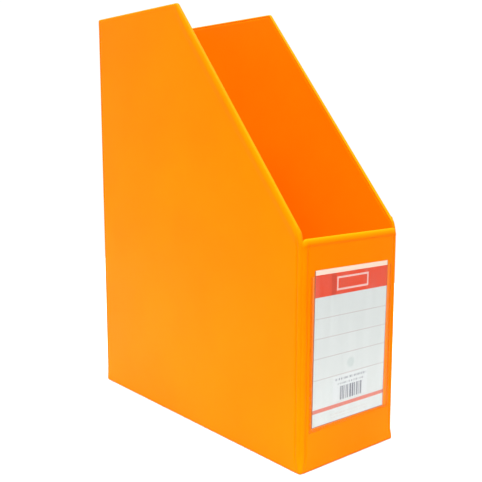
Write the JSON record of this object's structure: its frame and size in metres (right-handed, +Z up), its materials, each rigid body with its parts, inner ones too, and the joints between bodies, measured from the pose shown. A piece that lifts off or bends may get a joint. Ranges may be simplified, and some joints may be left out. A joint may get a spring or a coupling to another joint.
{
  "type": "magazine file holder",
  "caption": "Upright desk file of film-covered board with a cut-down sloping front, a clear label pocket and a snap-in base; it folds flat when the base is released.",
  "frame": {"origin": "centre of the underside, on the surface that it stands on", "axes": "+Z up (the tall way), +X across the narrow width from the left side to the right side, -Y towards the front wall with the label"},
  "size_m": [0.096, 0.255, 0.32],
  "materials": {
    "outer_film": "satin orange PVC film, faint fine grain",
    "lining_film": "satin orange PVC lining",
    "greyboard": "raw grey board",
    "clear_film": "clear soft PVC sheet",
    "card_paper": "matt printed card",
    "sticker_paper": "coated paper sticker",
    "stud_metal": "bright nickel plate",
    "spring_steel": "drawn wire"
  },
  "bodies": {
    "right_side": {"right_board": "greyboard", "right_outer_film": "outer_film", "right_lining": "lining_film", "front_right_fold": "outer_film", "back_right_fold": "outer_film", "base_fold": "outer_film"},
    "front_wall": {"front_board": "greyboard", "front_outer_film": "outer_film", "front_lining": "lining_film", "front_left_fold": "outer_film", "label_pocket": "clear_film"},
    "back_wall": {"back_board": "greyboard", "back_outer_film": "outer_film", "back_lining": "lining_film"},
    "left_side": {"left_board": "greyboard", "left_outer_film": "outer_film", "left_lining": "lining_film", "back_left_fold": "outer_film", "closing_flap_fold": "outer_film"},
    "base_flap": {"base_board": "greyboard", "base_hinge_strip": "outer_film", "base_under_film": "outer_film", "base_top_film": "lining_film", "stud_caps": "stud_metal", "stud_sockets": "stud_metal", "stud_springs": "spring_steel"},
    "closing_flap": {"closing_flap_stiffener": "greyboard", "closing_flap_under_film": "outer_film", "closing_flap_top_film": "lining_film", "stud_balls": "stud_metal", "stud_posts": "stud_metal"},
    "card": {"label_card": "card_paper", "price_sticker": "sticker_paper"}
  },
  "joints": [
    {"name": "front_fold", "type": "hinge", "parent": "right_side", "child": "front_wall", "pos_m": [0.0448, -0.1232, 0], "axis": [0, 0, 1], "range_deg": [0, 85]},
    {"name": "back_fold", "type": "hinge", "parent": "right_side", "child": "back_wall", "pos_m": [0.0448, 0.1243, 0], "axis": [0, 0, 1], "range_deg": [0, 85]},
    {"name": "left_fold", "type": "hinge", "parent": "front_wall", "child": "left_side", "pos_m": [-0.0448, -0.1232, 0], "axis": [0, 0, 1], "range_deg": [-85, 0]},
    {"name": "base_swing", "type": "hinge", "parent": "right_side", "child": "base_flap", "pos_m": [0.0443, 0, 0.0003], "axis": [0, -1, 0], "range_deg": [0, 85]},
    {"name": "flap_fold", "type": "hinge", "parent": "left_side", "child": "closing_flap", "pos_m": [-0.0443, 0, 0.0061], "axis": [0, -1, 0], "range_deg": [0, 85]},
    {"name": "card_slide", "type": "slide", "parent": "front_wall", "child": "card", "axis": [0, 0, 1], "range_m": [0, 0.115]}
  ],
  "couplings": [
    {"joint": "back_fold", "follows": "front_fold", "ratio": 1},
    {"joint": "left_fold", "follows": "front_fold", "ratio": -1},
    {"joint": "base_swing", "follows": "front_fold", "ratio": 1},
    {"joint": "flap_fold", "follows": "front_fold", "ratio": 1}
  ]
}
